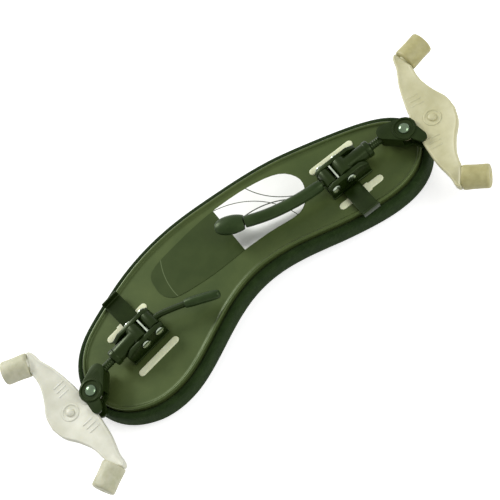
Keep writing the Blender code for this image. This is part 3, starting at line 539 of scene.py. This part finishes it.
def build_labels():
    for node, material in (("label_dark", label_film), ("label_silver", label_foil)):
        bm = turn(cad_mesh(node), Matrix.Translation((0, 0, LABEL_LIFT)))
        add(f"{node}_print", bm, material, "plate", [node])
    dark, foil = middle("label_dark"), middle("label_silver")
    grey = (0.10, 0.13, 0.06)
    draw_arcs(label_film, [((dark.x + 20 * mm, dark.y - 6 * mm), 36 * mm, 0.18 * mm)], grey)
    ink = (0.03, 0.04, 0.02)
    draw_arcs(label_foil, [((foil.x + 34 * mm, foil.y + 26 * mm), 38 * mm, 0.22 * mm),
                           ((foil.x - 30 * mm, foil.y - 24 * mm), 40 * mm, 0.2 * mm),
                           ((foil.x - 12 * mm, foil.y - 34 * mm), 36 * mm, 0.3 * mm)], ink)


# ---------------------------------------------------------------- legs

def build_carriage(side):
    body = f"{side}_carriage"
    for part in ("bare_rail", "covered_rail"):
        add(f"{side}_{part}_strip", bevelled(f"{side}_{part}", 0.2 * mm), rail_nylon, "plate",
            [f"{side}_{part}"])
    for part, width in (("carriage", 0.2), ("clamp_block", 0.3)):
        add(f"{side}_{part}_shell", bevelled(f"{side}_{part}", width * mm), black_paint, body,
            [f"{side}_{part}"], sharp=30)
    for part in ("fold_pin", "lever_pin"):
        add_pin(side, part, body)
    for part in ("carriage_screw", "keeper_plate", "lock_shoe"):
        frame["nodes"][f"{side}_{part}"].data.materials[0] = nickel


def add_pin(side, part, body):
    node = f"{side}_{part}"
    low, high = extent(node, LEG[side])
    centre = (low + high) / 2
    radius = (high.x - low.x) / 2 / mm
    reach = (high.y - low.y) / 2 / mm
    shank = radius * 0.62
    head = [(radius * 0.3, 0), (radius * 0.72, 0.08), (radius * 0.95, 0.3), (radius, 0.6), (radius, 0.8)]
    profile = [(r, -reach + z) for r, z in head] + [(shank, -reach + 0.8), (shank, reach - 0.8)]
    profile += [(r, reach - z) for r, z in reversed(head)]
    place = LEG[side] @ Matrix.Translation(centre) @ ACROSS
    add(f"{side}_{part}_round", turn(lathe(profile), place), nickel, body, [node])


def build_lever(side):
    body = f"{side}_lever"
    add(f"{side}_lever_arm", bevelled(f"{side}_lever", 0.15 * mm), black_paint, body,
        [f"{side}_lever"], sharp=45)
    add(f"{side}_lever_cover", subdivided(f"{side}_lever_grip"), grip_rubber, body,
        [f"{side}_lever_grip"], sharp=60)
    if side == "right":
        add("right_lever_knob", subdivided("right_lever_tip"), grip_rubber, body,
            ["right_lever_tip"], sharp=60)


def build_barrel(side):
    add(f"{side}_barrel_shell", bevelled(f"{side}_barrel", 0.2 * mm), black_paint, f"{side}_barrel",
        [f"{side}_barrel"], sharp=35)


def build_rod(side):
    low, high = extent(f"{side}_rod", LEG[side])
    radius = (high.y - low.y) / 2 / mm
    start, end = low.x / mm, high.x / mm
    profile = [(radius - 0.5, start), (radius, start + 0.5)]
    root = radius - ROD_RIB_DEPTH
    z = start + ROD_PLAIN[0]
    while z < end - ROD_PLAIN[1]:
        profile += [(radius, z), (root, z + 0.3 * ROD_RIB_PITCH), (root, z + 0.5 * ROD_RIB_PITCH),
                    (radius, z + 0.8 * ROD_RIB_PITCH)]
        z += ROD_RIB_PITCH
    profile.append((radius, end))
    add(f"{side}_rod_turned", turn(lathe(profile), LEG[side] @ ALONG), black_paint, f"{side}_rod",
        [f"{side}_rod"])


def build_bracket(side):
    body = f"{side}_bracket"
    add(f"{side}_bracket_shell", bevelled(f"{side}_bracket", 0.25 * mm), black_paint, body,
        [f"{side}_bracket"], sharp=32)
    low, high = extent(f"{side}_rock_pin", FORK[side])
    radius = (high.x - low.x) / 2 / mm
    end = high.z / mm
    angles = [math.pi / 2 * k / 7 for k in range(7)]
    dome = [(radius * math.cos(a), end - DOME_RISE + DOME_RISE * math.sin(a)) for a in angles]
    shank = [(PIN_SHANK, -end + DOME_RISE), (PIN_SHANK, end - DOME_RISE)]
    profile = [(r, -z) for r, z in reversed(dome)] + shank + dome
    add(f"{side}_rock_pin_dome", turn(lathe(profile), FORK[side]), dark_nickel, body,
        [f"{side}_rock_pin"])


# ---------------------------------------------------------------- forks

def prong_axes(side, letter):
    """A prong's frame, with Z along it, from its sleeve's own shape."""
    place = FORK[side]
    verts = [v.co for v in frame["nodes"][f"{side}_sleeve_{letter}"].data.vertices]
    centre = sum((Vector(v) for v in verts), Vector()) / len(verts)
    sign = 1 if letter == "a" else -1
    along = place.to_3x3() @ Vector((math.cos(PRONG_ANGLE), sign * math.sin(PRONG_ANGLE), 0))
    reach = [(v - centre).dot(along) for v in verts]
    start = centre + along * min(reach)
    return axes(start, place.col[2].xyz, along), max(reach) - min(reach)


def fork_loop(scale, steps=8):
    """The fork's outline, anticlockwise, from few points on one half."""
    inner = spline([Vector(p) * mm * scale for p in FORK_INNER], steps)
    outer = spline([Vector(p) * mm * scale for p in FORK_OUTER], steps)
    root = Vector(PRONG_ROOT) * mm * scale
    across = Vector((-math.sin(PRONG_ANGLE), math.cos(PRONG_ANGLE)))
    along = Vector((math.cos(PRONG_ANGLE), math.sin(PRONG_ANGLE)))
    end = [root + along * x * mm * scale + across * y * mm * scale for x, y in FORK_END]
    half = inner + end + outer
    mirrored = [Vector((p.x, -p.y)) for p in reversed(half[1:-1])]
    return list(reversed(half + mirrored))


def build_fork(side):
    body = f"{side}_fork"
    place = FORK[side]
    eye = (place.inverted() @ middle(f"{side}_fork_rivet")).x
    scale = eye / FORK_EYE
    bm = bmesh.new()
    outline = fork_loop(scale)
    levels = [(inset, -height) for inset, height in reversed(FORK_RIM)] + FORK_RIM[1:]
    loops = []
    for inset, height in levels:
        loops.append([bm.verts.new((p.x, p.y, height * mm)) for p in inset_loop(outline, inset * mm)])
    for lower, upper in zip(loops, loops[1:]):
        bridge(bm, lower, upper)
    caps = [bm.faces.new(loops[0]), bm.faces.new(loops[-1])]
    bmesh.ops.triangulate(bm, faces=caps)
    parts = [bm]
    parts.append(lathe(FORK_LUG))
    for sign in (1, -1):
        ring = lathe([(r, sign * z) for r, z in FORK_RING], 48, closed=True)
        parts.append(turn(ring, Matrix.Translation((eye, 0, 0))))
        for b in RIB_PLACES:
            parts.append(rib(eye - RIB_SETBACK - abs(b) * RIB_SLANT * mm, b * mm, sign))
    parts.append(turn(lathe(FORK_NECK), Matrix.Translation((NECK_REACH, 0, 0))))
    parts = [turn(merge(*parts), place)]
    for letter in "ab":
        prong, length = prong_axes(side, letter)
        peg = [(PEG_R - 0.26, -0.4), (PEG_R, -0.1), (PEG_R, length / mm - SLEEVE_CAP - 0.2)]
        parts.append(turn(lathe(peg), prong))
    whole = merge(*parts)
    add(f"{side}_fork_body", whole, fork_plastic[side], body, [f"{side}_fork"], sharp=42)
    profile = RIVET_HEAD + [(r, -z) for r, z in reversed(RIVET_HEAD)]
    add(f"{side}_fork_rivet_head", turn(lathe(profile, 32), place @ Matrix.Translation((eye, 0, 0))),
        fork_plastic[side], body, [f"{side}_fork_rivet"])
    for letter in "ab":
        build_sleeve(side, letter, body)


def rib(a, b, sign):
    """A short raised bar with round ends, across the fork."""
    bm = bmesh.new()
    half, reach, rise = 0.45 * mm, 2.6 * mm, 0.35 * mm
    loops = []
    for shrink, z in ((0.0, 1.5 * mm), (0.0, 1.6 * mm + rise * 0.6), (0.2 * mm, 1.6 * mm + rise)):
        loop = []
        for k in range(12):
            angle = 2 * math.pi * (k + 0.5) / 12
            x = (reach if math.cos(angle) > 0 else -reach) + (half - shrink) * math.cos(angle)
            loop.append(bm.verts.new((a + x, b + (half - shrink) * math.sin(angle), sign * z)))
        loops.append(loop)
    for lower, upper in zip(loops, loops[1:]):
        bridge(bm, lower, upper)
    bm.faces.new(loops[0])
    bm.faces.new(loops[-1])
    return bm


def build_sleeve(side, letter, body):
    place, length = prong_axes(side, letter)
    r, end = SLEEVE_R, length / mm
    outer = [(r - 0.75, 0.0), (r - 0.3, 0.12), (r - 0.05, 0.45), (r + 0.02, 1.4), (r - 0.12, end * 0.35),
             (r - 0.16, end * 0.6), (r - 0.06, end - 1.6), (r - 0.15, end - 0.8), (r - 0.45, end - 0.3),
             (r - 1.0, end - 0.06), (r - 1.7, end)]
    inner = [(1.6, end), (1.1, end - 0.1), (SLEEVE_VENT, end - 0.45), (SLEEVE_VENT, end - SLEEVE_CAP),
             (SLEEVE_BORE, end - SLEEVE_CAP), (SLEEVE_BORE, 0.0)]
    bm = lathe(outer + inner, 48, closed=True)
    add(f"{side}_sleeve_{letter}_tube", turn(bm, place), sleeve_rubber[side], body,
        [f"{side}_sleeve_{letter}"], sharp=48)


# ---------------------------------------------------------------- stage, light and camera

FLOOR_REACH = 3.0
FLOOR_TONE = 0.78
FLOOR_GLOW = 0.62
SKY_LIGHT = 0.42


def background_rays(nodes, link, rays):
    """One for rays that look at the white background, straight or in a shine."""
    either = nodes.new("ShaderNodeMath")
    either.operation = 'ADD'
    either.use_clamp = True
    link(rays.outputs["Is Camera Ray"], either.inputs[0])
    link(rays.outputs["Is Glossy Ray"], either.inputs[1])
    return either.outputs["Value"]


def build_stage():
    floor_mesh = bpy.data.meshes.new("floor")
    corners = [(x * FLOOR_REACH, y * FLOOR_REACH, 0) for x, y in ((-1, -1), (1, -1), (1, 1), (-1, 1))]
    floor_mesh.from_pydata(corners, [], [(0, 1, 2, 3)])
    floor = bpy.data.objects.new("floor", floor_mesh)
    bpy.context.scene.collection.objects.link(floor)
    white = bpy.data.materials.new("floor_white")
    white.use_nodes = True
    nodes, link = white.node_tree.nodes, white.node_tree.links.new
    nodes.clear()
    out = nodes.new("ShaderNodeOutputMaterial")
    matte = nodes.new("ShaderNodeBsdfDiffuse")
    matte.inputs["Color"].default_value = (FLOOR_TONE, FLOOR_TONE, FLOOR_TONE, 1)
    glow = nodes.new("ShaderNodeEmission")
    rays = nodes.new("ShaderNodeLightPath")
    level = nodes.new("ShaderNodeMath")
    level.operation = 'MULTIPLY'
    level.inputs[1].default_value = FLOOR_GLOW
    link(background_rays(nodes, link, rays), level.inputs[0])
    link(level.outputs["Value"], glow.inputs["Strength"])
    both = nodes.new("ShaderNodeAddShader")
    link(matte.outputs["BSDF"], both.inputs[0])
    link(glow.outputs["Emission"], both.inputs[1])
    link(both.outputs["Shader"], out.inputs["Surface"])
    floor_mesh.materials.append(white)


def build_world():
    world = bpy.data.worlds.new("studio")
    bpy.context.scene.world = world
    world.use_nodes = True
    nodes, link = world.node_tree.nodes, world.node_tree.links.new
    sky = nodes["Background"]
    sky.inputs["Color"].default_value = (1, 1, 1, 1)
    rays = nodes.new("ShaderNodeLightPath")
    seen = nodes.new("ShaderNodeMath")
    seen.operation = 'MULTIPLY_ADD'
    seen.inputs[1].default_value = 1 - SKY_LIGHT
    seen.inputs[2].default_value = SKY_LIGHT
    link(background_rays(nodes, link, rays), seen.inputs[0])
    link(seen.outputs["Value"], sky.inputs["Strength"])


def lamp(name, place, size, power, aim):
    data = bpy.data.lights.new(name, 'AREA')
    data.size = size
    data.energy = power
    made = bpy.data.objects.new(name, data)
    bpy.context.scene.collection.objects.link(made)
    made.location = place
    made.rotation_mode = 'QUATERNION'
    made.rotation_quaternion = (aim - Vector(place)).to_track_quat('-Z', 'Y')


def build_camera():
    aim = middle("base_plate") + AIM_OFFSET
    aim.z = PLATE_TOP
    sight = Vector((math.sin(CAMERA_TILT) * math.sin(CAMERA_HEADING),
                    math.sin(CAMERA_TILT) * math.cos(CAMERA_HEADING), -math.cos(CAMERA_TILT)))
    level = Vector((math.cos(CAMERA_HEADING), -math.sin(CAMERA_HEADING), 0))
    upward = level.cross(sight)
    right = math.cos(CAMERA_ROLL) * level - math.sin(CAMERA_ROLL) * upward
    data = bpy.data.cameras.new("camera")
    data.lens = CAMERA_LENS
    data.sensor_width = 36
    data.clip_end = 20
    camera = bpy.data.objects.new("camera", data)
    bpy.context.scene.collection.objects.link(camera)
    camera.matrix_world = axes(aim - sight * CAMERA_DISTANCE, right, -sight)
    bpy.context.scene.camera = camera
    lamp("key", (-0.45, 1.25, 0.75), 0.5, 17.0, aim)
    lamp("fill", (0.7, -0.7, 0.8), 0.7, 8.0, aim)


build_plate()
build_labels()
for side in SIDES:
    build_carriage(side)
    build_lever(side)
    build_barrel(side)
    build_rod(side)
    build_bracket(side)
    build_fork(side)
build_stage()
build_world()
build_camera()
bpy.context.scene.view_settings.view_transform = 'Standard'
